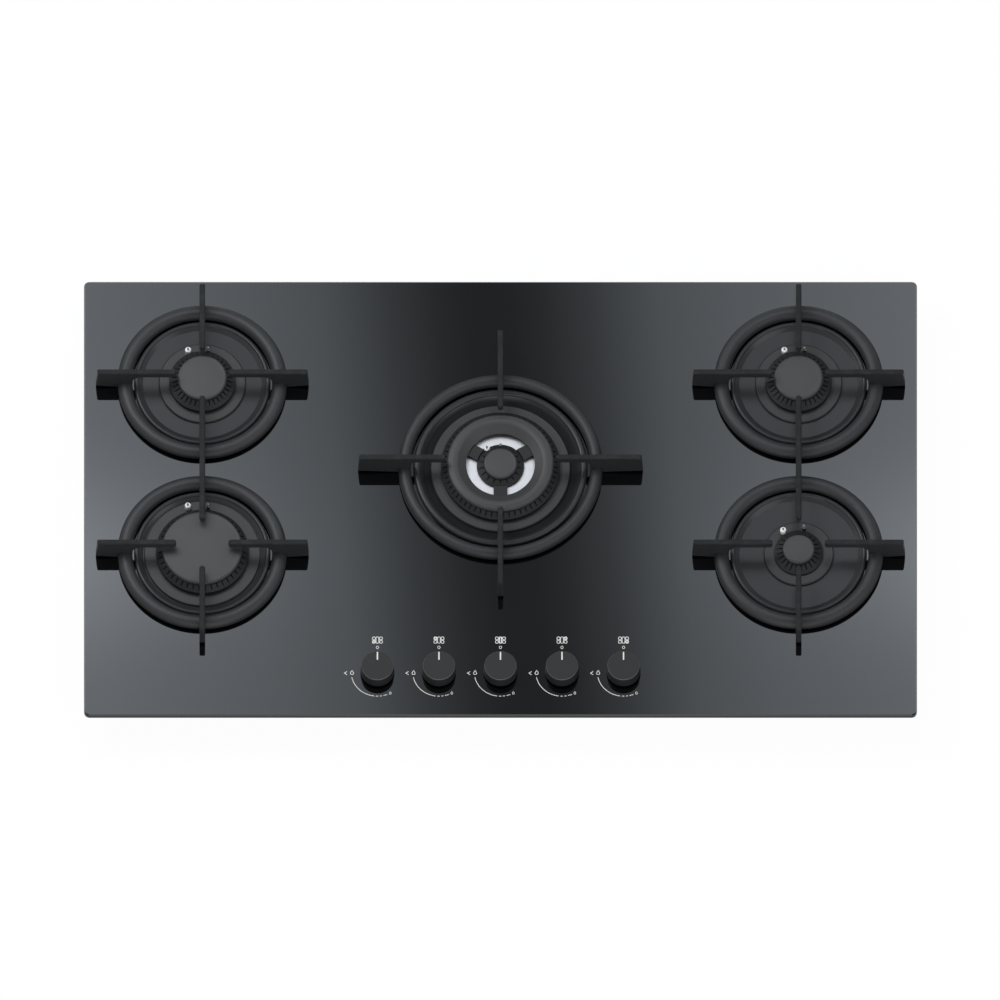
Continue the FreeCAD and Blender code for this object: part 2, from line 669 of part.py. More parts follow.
def free_fin(kind, end, angle):
    """Fin with an outer end of its own, turned to its place round the burner."""
    fin = plate(FIN_THICK, *fin_profile(kind, end))
    nose = [e for e in level_edges(fin, FIN_TOP) if e.BoundBox.XLength < 1e-4 and e.BoundBox.XMin > kind.outer]
    fin = softened(round_tip(fin.makeFillet(FIN_NOSE, nose), kind.fin_start + FIN_THICK / 2))
    fin.rotate(Vector(0, 0, 0), UP, angle)
    return fin


def shared_fin(kind, pitch):
    """Fin that runs from one burner across to the next, pitch apart along +X from the origin."""
    middle = pitch / 2
    inner_end = fin_profile(kind, middle)[:6]
    half = plate(FIN_THICK, *inner_end, (middle, GLASS_UP + FIN_LIFT), (middle, FIN_TOP),
                 (inner_end[0][0], FIN_TOP))
    fin = half.fuse(half.mirror(Vector(middle, 0, 0), Vector(1, 0, 0))).removeSplitter()
    for x in (inner_end[0][0], pitch - inner_end[0][0]):
        fin = round_tip(fin, x)
    return softened(fin)


def feet(kind):
    """Rubber buttons with a peg in the ring."""
    low = GLASS_UP + RING_LIFT
    middle = (kind.inner + kind.outer) / 2
    foot = turned((0, GLASS_UP), (FOOT_RADIUS - 0.6, GLASS_UP), (FOOT_RADIUS, GLASS_UP + 0.6),
                  (FOOT_RADIUS, low), (FOOT_PEG, low), (FOOT_PEG, low + FOOT_PEG_HEIGHT),
                  (0, low + FOOT_PEG_HEIGHT))
    foot.translate(Vector(middle, 0, 0))
    return ring_of(foot, 4, 45)


def pan_support(burners, kind):
    """Rings, fins and feet of the support over one or two burners that share an X."""
    rings, fins, pads = [], [], []
    rear = max(b.y for b in burners)
    front = min(b.y for b in burners)
    for burner in burners:
        rings.append(burner.place(support_ring(kind)))
        pads += [burner.place(foot) for foot in feet(kind)]
        ends = {0: kind.fin_end, 180: kind.fin_end}
        short = kind.fin_end if rear == front else SHORT_END
        if burner.y == rear:
            ends[90] = short
        if burner.y == front:
            ends[270] = short
        fins += [burner.place(free_fin(kind, end, angle)) for angle, end in ends.items()]
    if rear > front:
        shared = shared_fin(kind, rear - front)
        shared.rotate(Vector(0, 0, 0), UP, 90)
        shared.translate(Vector(burners[0].x, front, 0))
        fins.append(shared)
    return rings, [fin.cut(rings) for fin in fins], pads


# ================================================================ knobs and taps
def d_section(radius, flat, low, high):
    """Round bar with one flat, on the Z axis."""
    return rod(radius, 0, 0, low, high).cut(block(-2 * radius, 2 * radius, -2 * radius, -flat, low, high))


KNOB_LOW = GLASS_UP + KNOB_GAP
KNOB_HIGH = GLASS_UP + KNOB_TOP
STEM_TOP = KNOB_HIGH - KNOB_ROOF
TAP_TOP = SHEET + TAP_FLOOR + PLUG_HEIGHT
STEM_LOW = TAP_TOP - 10.0


def knob():
    """Moulded knob: thin skirt, roof and a hub with the bore for the flatted stem."""
    top_radius = KNOB_RADIUS - KNOB_TAPER
    shell = turned((0, STEM_TOP), (KNOB_RADIUS - KNOB_WALL - KNOB_TAPER, STEM_TOP),
                   (KNOB_RADIUS - KNOB_WALL, KNOB_LOW), (KNOB_RADIUS, KNOB_LOW),
                   (top_radius, KNOB_HIGH - KNOB_CHAMFER), (top_radius - KNOB_CHAMFER, KNOB_HIGH),
                   (0, KNOB_HIGH))
    hub = rod(HUB_RADIUS, 0, 0, KNOB_LOW + HUB_RECESS, STEM_TOP)
    return shell.fuse(hub).cut(d_section(STEM_RADIUS, STEM_FLAT, KNOB_LOW, STEM_TOP)).removeSplitter()


def tap_stem():
    stem = d_section(STEM_RADIUS, STEM_FLAT, STEM_LOW, STEM_TOP)
    return stem.makeChamfer(0.5, level_edges(stem, STEM_LOW))


def tap_plug():
    """Turning part of the tap: it lets the flatted stem slide in and turns with it."""
    low = SHEET + TAP_FLOOR
    body = rod(PLUG_RADIUS - PLUG_PLAY, 0, 0, low, TAP_TOP - BONNET_PLAY)
    socket = d_section(STEM_RADIUS + STEM_PLAY, STEM_FLAT + STEM_PLAY, STEM_LOW - PUSH_TRAVEL - 1, TAP_TOP)
    way = Part.makeCylinder(1.6, 2 * PLUG_RADIUS, Vector(0, -PLUG_RADIUS, RAIL_Z - 3), Vector(0, 1, 0))
    return body.cut([socket, way])


def tap_body(x):
    """Cast body: barrel on the tray floor, saddle round the gas rail and outlet above it."""
    reach = RAIL_Y - KNOB_Y
    barrel = rod(TAP_RADIUS, 0, 0, SHEET, TAP_TOP)
    half = SADDLE_WIDTH / 2
    saddle = block(-half, half, 0, reach + RAIL_RADIUS + SADDLE_WALL,
                   RAIL_Z - RAIL_RADIUS - SADDLE_WALL, RAIL_Z + RAIL_RADIUS + 1)
    outlet = Part.makeCylinder(PORT_RADIUS - 1, reach - 4, Vector(0, 0, PIPE_Z), Vector(0, 1, 0))
    body = barrel.fuse([saddle, outlet])
    rail = Part.makeCylinder(RAIL_RADIUS, 4 * SADDLE_WIDTH, Vector(-2 * SADDLE_WIDTH, reach, RAIL_Z),
                             Vector(1, 0, 0))
    way = Part.makeCylinder(PIPE_RADIUS - 1, reach, Vector(0, 0, PIPE_Z), Vector(0, 1, 0))
    body = body.cut([rod(PLUG_RADIUS, 0, 0, SHEET + TAP_FLOOR, TAP_TOP), rail, way])
    body.translate(Vector(x, KNOB_Y, 0))
    return body


def tap_bonnet(x):
    lid = turned((STEM_RADIUS + BONNET_PLAY, TAP_TOP), (TAP_RADIUS, TAP_TOP),
                 (TAP_RADIUS, TAP_TOP + BONNET_THICK - 1), (TAP_RADIUS - 1, TAP_TOP + BONNET_THICK),
                 (STEM_RADIUS + BONNET_PLAY, TAP_TOP + BONNET_THICK))
    lid.translate(Vector(x, KNOB_Y, 0))
    return lid


def knob_seal(x):
    """Rubber grommet in the glass under each knob."""
    seal = turned((STEM_RADIUS + 1, GLASS_UNDER), (KNOB_HOLE, GLASS_UNDER), (KNOB_HOLE, GLASS_UP),
                  (KNOB_HOLE + 2.5, GLASS_UP), (KNOB_HOLE + 2, GLASS_UP + 0.8),
                  (STEM_RADIUS + 1, GLASS_UP + 0.8))
    seal.translate(Vector(x, KNOB_Y, 0))
    return seal


# ================================================================ gas way
def gas_rail():
    """Steel tube past the taps, bent once and run back to the inlet; its left end is closed."""
    end = REAR_WALL - SHEET - 12
    outer = tube([(RAIL_START_X, RAIL_Y, RAIL_Z), (RAIL_TURN_X, RAIL_Y, RAIL_Z), (RAIL_TURN_X, end, RAIL_Z)],
                 RAIL_RADIUS, RAIL_BEND)
    inner = tube([(RAIL_START_X + 3, RAIL_Y, RAIL_Z), (RAIL_TURN_X, RAIL_Y, RAIL_Z),
                  (RAIL_TURN_X, end, RAIL_Z)], RAIL_BORE, RAIL_BEND)
    return outer.cut(inner)


def gas_inlet():
    """Hexagon inside the wall, threaded stub through it and a lock nut outside."""
    wall = REAR_WALL
    inside = about_y(hexagon(INLET_HEX, 0, 12), RAIL_TURN_X, wall - SHEET - 12, RAIL_Z)
    nut = about_y(hexagon(INLET_HEX + 2, 0, INLET_NUT), RAIL_TURN_X, wall, RAIL_Z)
    stub = about_y(turned((0, 0), (INLET_RADIUS, 0), (INLET_RADIUS, INLET_NUT + INLET_LENGTH + SHEET),
                          (INLET_RADIUS - 0.8, INLET_NUT + INLET_LENGTH + SHEET + 0.8),
                          (0, INLET_NUT + INLET_LENGTH + SHEET + 0.8)), RAIL_TURN_X, wall - SHEET, RAIL_Z)
    bore = about_y(Part.makeCylinder(INLET_BORE, 60), RAIL_TURN_X, wall - 30, RAIL_Z)
    return inside.fuse([nut, stub]).cut(bore).removeSplitter()


def feed_pipes():
    """One small pipe from each tap to its burner, on the level of the tap outlets."""
    start_y = RAIL_Y - 4
    order = (BURNERS[1], BURNERS[0], CENTRE, BURNERS[3], BURNERS[4])
    pipes = []
    for (x, _), burner in zip(knob_places(), order):
        way = port_direction(burner)
        reach = BOSS_RADIUS + PORT_LENGTH
        end = (burner.x + way.x * reach, burner.y + way.y * reach, PIPE_Z)
        points = [(x, start_y, PIPE_Z)]
        if burner.y == FRONT_Y:
            points.append((x, burner.y, PIPE_Z))
        elif burner is not CENTRE:
            lane = x + math.copysign(PIPE_LANE, x)
            points += [(x, start_y + 70, PIPE_Z), (lane, start_y + 110, PIPE_Z), (lane, burner.y, PIPE_Z)]
        pipes.append(tube(points + [end], PIPE_RADIUS, PIPE_BEND))
    return pipes


# ================================================================ electrics
def ignition_module():
    """Potted spark generator with its row of high-tension outlets."""
    width, depth, height = MODULE_SIZE
    body = rounded_block(width, depth, SHEET, SHEET + height, MODULE_CORNER)
    body = body.makeFillet(1.5, level_edges(body, SHEET + height))
    pitch = width / 6
    outlets = [rod(3, (i - 2) * pitch, depth / 4, SHEET + height - 1, SHEET + height + 3) for i in range(5)]
    blades = [block(i * pitch - 3, i * pitch + 3, -depth / 2 - 6, -depth / 2 + 1, SHEET + 7, SHEET + 8)
              for i in (-1.5, 0, 1.5)]
    body = body.fuse(outlets + blades).removeSplitter()
    body.translate(Vector(*MODULE_PLACE, 0))
    return body


def cable_gland():
    """Screwed gland for the mains cable, empty."""
    wall = REAR_WALL
    inside = hexagon(2 * GLAND_RADIUS, -5, 0)
    body = turned((0, -8), (GLAND_NECK, -8), (GLAND_NECK, SHEET), (GLAND_RADIUS + 1, SHEET),
                  (GLAND_RADIUS + 1, SHEET + 3),
                  (GLAND_RADIUS - 1, SHEET + 3), (GLAND_RADIUS - 1, SHEET + 8),
                  ((GLAND_RADIUS - 1.6, SHEET + 11), (GLAND_BORE + 1, SHEET + 12)), (0, SHEET + 12))
    bores = [rod(GLAND_BORE, 0, 0, 0, 30), rod(GLAND_WAY, 0, 0, -20, SHEET + 2)]
    solid = body.fuse(inside).removeSplitter().cut(bores)
    return about_y(solid, GLAND_X, wall - SHEET, GLAND_Z)


# ================================================================ write every piece
def main():
    os.makedirs("parts", exist_ok=True)
    export("glass_top", glass_top())
    export("burner_box", burner_box())
    export("worktop_seal", worktop_seal())
    export("burner_rails", *burner_rails())
    export("screws", *screws())
    export("worktop_clips", *worktop_clips())

    export("burner_cups", *[burner_cup(b) for b in BURNERS])
    export("injectors", *[injector(b) for b in BURNERS])
    for burner in BURNERS:
        export(f"drip_dish_{burner.name}", drip_dish(burner))
        if burner is CENTRE:
            export("flame_spreader_centre", ring_crown())
            export("burner_cap_centre", ring_cap())
        else:
            export(f"flame_spreader_{burner.name}", flame_spreader(burner))
            export(f"burner_cap_{burner.name}", burner_cap(burner))
    export("mixing_plate_centre", mixing_plate())
    export("inner_spreader_centre", inner_spreader())
    export("inner_cap_centre", inner_cap())
    export("igniter_ceramics", *[igniter_ceramic(b) for b in BURNERS])
    export("igniter_pins", *[igniter_pin(b) for b in BURNERS])
    export("flame_probes", *[flame_probe(b) for b in BURNERS])

    groups = {"left": (BURNERS[:2], SIDE_SUPPORT), "centre": ([CENTRE], CENTRE_SUPPORT),
              "right": (BURNERS[3:], SIDE_SUPPORT)}
    for side, (burners, kind) in groups.items():
        rings, fins, pads = pan_support(burners, kind)
        export(f"pan_ring_{side}", *rings)
        export(f"pan_fins_{side}", *fins)
        export(f"pan_feet_{side}", *pads)

    for number, (x, y) in enumerate(knob_places(), 1):
        for name, make in (("knob", knob), ("tap_stem", tap_stem), ("tap_plug", tap_plug)):
            piece = make()
            piece.translate(Vector(x, y, 0))
            export(f"{name}_{number}", piece)
    places = [x for x, _ in knob_places()]
    export("tap_bodies", *[tap_body(x) for x in places], *[tap_bonnet(x) for x in places])
    export("knob_seals", *[knob_seal(x) for x in places])
    export("gas_rail", gas_rail())
    export("gas_inlet", gas_inlet())
    export("feed_pipes", *feed_pipes())
    export("ignition_module", ignition_module())
    export("cable_gland", cable_gland())


main()
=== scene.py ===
# %% [markdown]
# # A five-burner gas cooktop on black glass
#
# The real cooktop is a pane of toughened black glass over a shallow steel tray. Burners stand
# in enamelled dishes, cast-iron pan supports stand over them, and five knobs turn the taps.
# The solid shapes come ready made, in metres, with z = 0 at the lowest point of the tray.
# This lesson gives every shape its finish, prints the signs on the glass, and lights the scene.

import json
import math

import bmesh
import bpy
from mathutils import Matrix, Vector


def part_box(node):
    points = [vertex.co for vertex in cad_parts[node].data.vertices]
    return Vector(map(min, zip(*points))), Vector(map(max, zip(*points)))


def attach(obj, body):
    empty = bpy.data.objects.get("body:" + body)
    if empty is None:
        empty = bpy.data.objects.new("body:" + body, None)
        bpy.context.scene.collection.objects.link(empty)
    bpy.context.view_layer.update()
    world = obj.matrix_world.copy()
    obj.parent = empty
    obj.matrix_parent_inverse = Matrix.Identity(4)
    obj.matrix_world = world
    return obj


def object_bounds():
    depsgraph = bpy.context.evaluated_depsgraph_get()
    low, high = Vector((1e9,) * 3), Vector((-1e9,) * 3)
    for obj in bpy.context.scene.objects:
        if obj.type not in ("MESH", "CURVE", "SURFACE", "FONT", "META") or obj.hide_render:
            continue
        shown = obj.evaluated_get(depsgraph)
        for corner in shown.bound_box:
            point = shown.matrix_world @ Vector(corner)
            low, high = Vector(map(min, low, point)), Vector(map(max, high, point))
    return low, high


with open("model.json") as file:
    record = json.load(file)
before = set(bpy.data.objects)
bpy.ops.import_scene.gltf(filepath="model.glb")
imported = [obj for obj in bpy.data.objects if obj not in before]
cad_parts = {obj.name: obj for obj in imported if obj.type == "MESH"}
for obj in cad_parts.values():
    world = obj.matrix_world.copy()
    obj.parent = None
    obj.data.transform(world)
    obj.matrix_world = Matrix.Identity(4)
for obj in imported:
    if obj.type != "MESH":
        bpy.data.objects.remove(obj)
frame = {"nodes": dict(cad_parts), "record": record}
cad_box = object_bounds()
nodes = frame["nodes"]
print("shapes loaded:", len(nodes))
print("outer size in mm:", [round(1000 * (high - low), 1) for low, high in zip(*cad_box)])

# %% [markdown]
# ## Sizes
#
# Signs and lamps need a few places on the object. They are read from the shapes themselves
# where that is possible, so that they stay right when a shape is made a little larger.

# %% Places on the glass
MM = 0.001
GLASS_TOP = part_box("glass_top")[1].z
KNOBS = range(1, 6)


def middle(node):
    """The middle of a shape's box."""
    low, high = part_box(node)
    return (low + high) / 2


knob_axis = {n: middle(f"tap_stem_{n}") for n in KNOBS}
CENTRE_BURNER = middle("mixing_plate_centre")
knob_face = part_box("knob_1")[1].z
print("glass surface at z =", round(GLASS_TOP / MM, 2), "mm")
print("knob axes at x =", [round(axis.x / MM, 1) for axis in knob_axis.values()], "mm")

# %% [markdown]
# ## Round things shown round
#
# The shapes are made of small flat faces. A turned or cast part has no such facets, so the
# shading is smoothed across every edge that bends less than a set angle, and stays crisp at
# the real edges. Smaller faces would hide the facets too, in a much heavier file. Here only
# the shading changes: no point of a shape moves.

# %% Smooth shading
SOFT_EDGE = math.radians(32)


def smooth(mesh):
    """Shades a mesh smooth, except where its faces meet at a clear angle."""
    mesh.shade_smooth()
    mesh.set_sharp_from_angle(angle=SOFT_EDGE)


for shape in nodes.values():
    smooth(shape.data)
print("faces smoothed:", sum(len(shape.data.polygons) for shape in nodes.values()))

# %% [markdown]
# ## Shader maths as plain arithmetic
#
# A finish is a small network of nodes. Written out link by link it is hard to read, so a
# class wraps one output socket: `0.3 + 0.1 * grain` then adds its own Math nodes, and
# `mask.mix(a, b)` blends two colours. Any other node comes from the one method `node`.


# %% The wrapped socket
class Wire:
    """One output socket of a node tree, with arithmetic."""

    def __init__(self, tree, socket=None):
        self.tree = tree
        self.socket = socket

    def node(self, kind, settings=(), inputs=(), output=0):
        """Adds a node: its type, its settings, then the values or wires of its inputs."""
        made = self.tree.nodes.new(kind)
        for name, value in dict(settings).items():
            if name == "stops":
                set_stops(made.color_ramp, value)
            else:
                setattr(made, name, value)
        for name, value in dict(inputs).items():
            plug(self.tree, value, made.inputs[name])
        return Wire(self.tree, made.outputs[output] if made.outputs else None)

    def maths(self, operation, first, second):
        """A Math node on two values or wires."""
        return self.node("ShaderNodeMath", {"operation": operation}, {0: first, 1: second})

    def vector_maths(self, operation, other):
        """A Vector Math node on this wire and another vector."""
        return self.node("ShaderNodeVectorMath", {"operation": operation}, {0: self, 1: other})

    def __add__(self, other):
        return self.maths("ADD", self, other)

    def __sub__(self, other):
        return self.maths("SUBTRACT", self, other)

    def __rsub__(self, other):
        return self.maths("SUBTRACT", other, self)

    def __mul__(self, other):
        return self.maths("MULTIPLY", self, other)

    def __truediv__(self, other):
        return self.maths("DIVIDE", self, other)

    def __rpow__(self, other):
        return self.maths("POWER", other, self)

    def __abs__(self):
        return self.maths("ABSOLUTE", self, 0.0)

    __radd__ = __add__
    __rmul__ = __mul__

    def mix(self, low, high):
        """The colour low where this wire is 0, and high where it is 1.

        A Mix node has one set of inputs for each kind of value, and those of its colours
        have the numbers 6 and 7.
        """
        return self.node(
            "ShaderNodeMix",
            {"data_type": "RGBA"},
            {0: self, 6: low, 7: high},
            output=2,
        )

    def ramp(self, stops):
        """Reads this wire off a colour ramp, given as pairs of place and grey or colour."""
        return self.node("ShaderNodeValToRGB", {"stops": stops}, {0: self})

    def part(self, axis):
        """The x, y or z part of a vector wire."""
        return self.node("ShaderNodeSeparateXYZ", inputs={0: self}, output="XYZ".index(axis))

    def noise(self, size, detail=2.0):
        """Cloudy noise whose features are about size metres across."""
        return self.node(
            "ShaderNodeTexNoise",
            inputs={"Vector": self, "Scale": 1 / size, "Detail": detail, "Roughness": 0.5},
        )

    def cells(self, size, output="Distance"):
        """Voronoi cells about size metres across."""
        return self.node(
            "ShaderNodeTexVoronoi",
            inputs={"Vector": self, "Scale": 1 / size},
            output=output,
        )

    def stretch(self, x, y, z):
        """A vector wire multiplied on each axis."""
        return self.vector_maths("MULTIPLY", (x, y, z))

    def around(self, x, y):
        """How far a place is from the upright axis at x and y, in metres."""
        flat = self.vector_maths("SUBTRACT", (x, y, 0)).stretch(1, 1, 0)
        length = {"operation": "LENGTH"}
        return self.node("ShaderNodeVectorMath", length, {0: flat}, output="Value")

    def bump(self, height, strength=1.0):
        """This wire, from 0 to 1, as a relief of that height in metres."""
        return self.node(
            "ShaderNodeBump",
            inputs={"Height": self, "Distance": height, "Strength": strength},
        )


# %% Values into sockets
def rgba(colour):
    """A grey or a red, green and blue as the four numbers that Blender's colours have."""
    parts = (colour,) * 3 if isinstance(colour, (int, float)) else tuple(colour)
    return parts if len(parts) == 4 else (*parts, 1.0)


def set_stops(ramp, stops):
    """Writes pairs of place and colour into a colour ramp."""
    while len(ramp.elements) < len(stops):
        ramp.elements.new(1.0)
    for element, (place, colour) in zip(ramp.elements, stops):
        element.position = place
        element.color = rgba(colour)


def plug(tree, value, socket):
    """Links a wire to a socket, or sets the socket to a value."""
    if isinstance(value, Wire):
        tree.links.new(value.socket, socket)
    elif socket.type == "RGBA":
        socket.default_value = rgba(value)
    else:
        socket.default_value = value


# %% [markdown]
# ## One function for every finish
#
# Each finish is a Principled shader. What is the same all over is set on the shader itself,
# and a small function is handed the place on the surface and gives back what changes over it.
# The place is the point in the object's own space. A picture would need every mesh cut open
# and laid flat, while a pattern worked out from the place fits any shape as it is.


# %% An empty material
def empty_material(name):
    """A material with an empty tree, and the wire to start it from."""
    material = bpy.data.materials.new(name)
    material.use_nodes = True
    material.node_tree.nodes.clear()
    return material, Wire(material.node_tree)


# %% Make a finish
finishes = {}


def finish(name, varying, **fixed):
    """Makes the finish of that name. Underscores in a fixed value's name stand for spaces."""
    material, start = empty_material(name)
    place = start.node("ShaderNodeTexCoord", output="Object")
    sockets = {key.replace("_", " "): value for key, value in fixed.items()}
    sockets.update(varying(place))
    shader = start.node("ShaderNodeBsdfPrincipled", inputs=sockets)
    start.node("ShaderNodeOutputMaterial", inputs={0: shader})
    finishes[name] = material
    print("finish made:", name)


# %% [markdown]
# ## The black glass
#
# The pane is clear glass painted black underneath: nearly all that is seen is what it
# mirrors. A clear pane over a black sheet would look the same, but light would be traced
# through it for nothing. So the pane is solid black: its own colour is almost nothing, its
# roughness is very low, and a faint cloudy change in roughness stands for the cloth that
# wiped it. The bevel along both sides and the rear is painted pale. This is partly the satin
# of a ground edge and partly a painted highlight for the light line that edge catches. At the
# front the bevel is left black. The upright faces of the edge are given a black metal's weak
# mirror, as painted shade that keeps them dark: metal of a black colour mirrors less than
# glass.

# %% Black glass
BEVEL = 1.3 * MM
GLASS_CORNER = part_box("glass_top")[1]


def black_glass(place):
    wiped = place.stretch(1.0, 2.2, 1.0).noise(90 * MM, detail=3)
    # The pale rim along the sides and rear is partly ground satin and partly a painted
    # highlight. The upright faces are made black metal as painted shade.
    past_side = abs(place.part("X")) - (GLASS_CORNER.x - BEVEL)
    past_rear = place.part("Y") - (GLASS_CORNER.y - BEVEL)
    ground_and_highlit_rim = place.maths("GREATER_THAN", place.maths("MAXIMUM", past_side, past_rear), 0.0)
    upright = place.maths("LESS_THAN", place.part("Z"), GLASS_TOP - BEVEL)
    pale_bevel_and_highlight = ground_and_highlit_rim * (1 - upright)
    return {
        "Base Color": pale_bevel_and_highlight.mix((0.0016, 0.0018, 0.0022), (0.135, 0.138, 0.143)),
        "Roughness": 0.02 + 0.03 * wiped + 0.30 * pale_bevel_and_highlight + 0.25 * upright,
        "Metallic": upright,
    }


finish("black_glass", black_glass, IOR=1.5)

# %% [markdown]
# ## Enamelled cast iron
#
# Pan supports are sand castings under satin enamel. The enamel leaves a fine orange-peel
# skin over the coarser swell of the casting. The two are less than a fifth of a millimetre
# deep, too little to be worth a finer mesh, so they are a bump in the shading. Flames and
# pans dull the tops of the fins, so the last few millimetres up to them are duller. The same
# band is painted darker, partly as that wear and partly as painted shade on the tops, with
# paler rubbed spots.

# %% Cast iron
FIN_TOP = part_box("pan_fins_left")[1].z
WORN_SHADED_FROM, WORN_SHADED_TO = 0.965, 0.998


def cast_iron(place):
    casting = place.noise(6 * MM, detail=2)
    skin = place.noise(0.7 * MM, detail=2)
    relief = 0.6 * casting + 0.4 * skin
    # The top few millimetres of the fins are painted darker: partly flame wear, partly painted
    # shade.
    worn_shaded_top = (place.part("Z") / FIN_TOP).ramp([(WORN_SHADED_FROM, 0.0), (WORN_SHADED_TO, 1.0)])
    rubbed = place.noise(9 * MM, detail=4).ramp([(0.50, 0.0), (0.66, 1.0)])
    tone = rubbed.mix((0.0045, 0.0049, 0.0062), (0.0105, 0.0111, 0.0129))
    mottled = casting.mix((0.0196, 0.0205, 0.0228), (0.0252, 0.0263, 0.0290))
    return {
        "Base Color": worn_shaded_top.mix(mottled, tone),
        "Roughness": 0.42 + 0.08 * skin + 0.26 * worn_shaded_top,
        "Normal": relief.bump(0.16 * MM, 0.35),
    }


finish("cast_iron", cast_iron, Specular_IOR_Level=0.34)

# %% [markdown]
# ## Enamel of the caps and the dishes
#
# Both are pressed or turned steel under black enamel. The caps are matt, with a grain of
# fine specks fired into the glaze. The dishes carry a long soft orange peel that breaks up
# reflections. Heat and scouring dull their flat floors, and the curved rims keep their gloss.
# The rims could be pieces with a finish of their own, but the change has no sharp end: a thin
# clear coat is laid on wherever the surface isn't level. Round the crown of the middle burner
# the dish is painted near black and dull, as painted shade for the deep trough under the
# collar.


# %% Enamel of the caps
def black_enamel(place):
    speck = place.noise(0.35 * MM, detail=3)
    cloud = place.noise(14 * MM, detail=2)
    return {
        "Base Color": cloud.mix((0.0215, 0.0222, 0.0234), (0.0265, 0.0272, 0.0284)),
        "Roughness": 0.44 + 0.10 * speck,
        "Normal": speck.bump(0.03 * MM, 0.3),
    }


finish("black_enamel", black_enamel, Specular_IOR_Level=0.5)

# %% Enamel of the dishes
SHADED_TROUGH_REACH = 84 * MM


def dish_enamel(place):
    peel = place.noise(2.2 * MM, detail=1)
    cloud = place.noise(30 * MM, detail=2)
    level = abs(place.node("ShaderNodeNewGeometry", output="Normal").part("Z"))
    # Round the middle burner's crown the dish is painted near black and dull: painted shade in
    # the trough.
    away = place.around(CENTRE_BURNER.x, CENTRE_BURNER.y) / SHADED_TROUGH_REACH
    outside_painted_shade = away.ramp([(0.94, 0.0), (1.0, 1.0)])
    enamel = cloud.mix((0.0195, 0.0202, 0.0222), (0.0255, 0.0264, 0.0288))
    return {
        "Base Color": outside_painted_shade.mix((0.0016, 0.0017, 0.0019), enamel),
        "Roughness": 0.29 + 0.08 * cloud + 0.40 * (1 - outside_painted_shade),
        "Coat Weight": outside_painted_shade * level.ramp([(0.90, 0.35), (0.99, 0.0)]),
        "Normal": peel.bump(0.05 * MM, 0.2),
    }


finish("dish_enamel", dish_enamel, Specular_IOR_Level=0.20, Coat_Roughness=0.22)

# %% [markdown]
# ## The black castings round the flame
#
# Crowns and collars are cast aluminium with a black heat-proof coat. The coat is dull and
# slightly grainy, and it thins a little where it has been hot. One flat black would look like
# paper, so the tone wanders between two limits. Crowns and collars differ only in those
# limits and in shine, so one function makes both.


# %% Coated castings
def coated(dark, light, rough):
    """A dull coat on cast aluminium, between two tones."""

    def varying(place):
        grain = place.noise(0.5 * MM, detail=3)
        cloud = place.noise(11 * MM, detail=3)
        return {
            "Base Color": cloud.mix(dark, light),
            "Roughness": rough + 0.12 * grain,
            "Normal": grain.bump(0.06 * MM, 0.35),
        }

    return varying


finish("black_crown", coated((0.0048, 0.0050, 0.0055), (0.0078, 0.0081, 0.0088), 0.50),
       Specular_IOR_Level=0.34)
finish("black_collar", coated((0.0100, 0.0103, 0.0110), (0.0145, 0.0149, 0.0158), 0.40),
       Specular_IOR_Level=0.42)

# %% [markdown]
# ## Bare metals
#
# The bright plate in the middle burner is turned aluminium: the lathe tool leaves fine rings,
# too fine to model, so they are a bump made by a sine of the distance from the burner's axis.
# Zinc-coated sheet shows the flat crystals of its zinc, as cells that each keep one tone.
# Every other bare metal is one noise with a grain of its own size, which runs along the rail
# and the pipes and across the clips and the stems. A table of those metals is shorter than a
# function for each.


# %% Turned aluminium
def rings(place, axis, pitch):
    """Fine rings round an upright axis, from 0 to 1."""
    turns = place.around(axis.x, axis.y) * (2 * math.pi / pitch)
    return 0.5 + 0.5 * turns.node("ShaderNodeMath", {"operation": "SINE"}, {0: turns})


def bright_aluminium(place):
    ring = rings(place, CENTRE_BURNER, 0.5 * MM)
    haze = place.noise(7 * MM, detail=4)
    return {
        "Base Color": haze.mix((0.42, 0.415, 0.42), (0.54, 0.535, 0.54)),
        "Roughness": 0.34 + 0.14 * haze,
        "Normal": ring.bump(0.012 * MM, 0.35),
    }


finish("bright_aluminium", bright_aluminium, Metallic=1.0)


# %% Zinc-coated sheet
def tray_steel(place):
    spangle = place.cells(9 * MM, output="Color").part("X")
    return {
        "Base Color": spangle.mix((0.46, 0.47, 0.48), (0.62, 0.63, 0.645)),
        "Roughness": 0.34 + 0.16 * spangle,
        "Normal": place.noise(1.2 * MM).bump(0.01 * MM, 0.2),
    }


finish("tray_steel", tray_steel, Metallic=1.0)

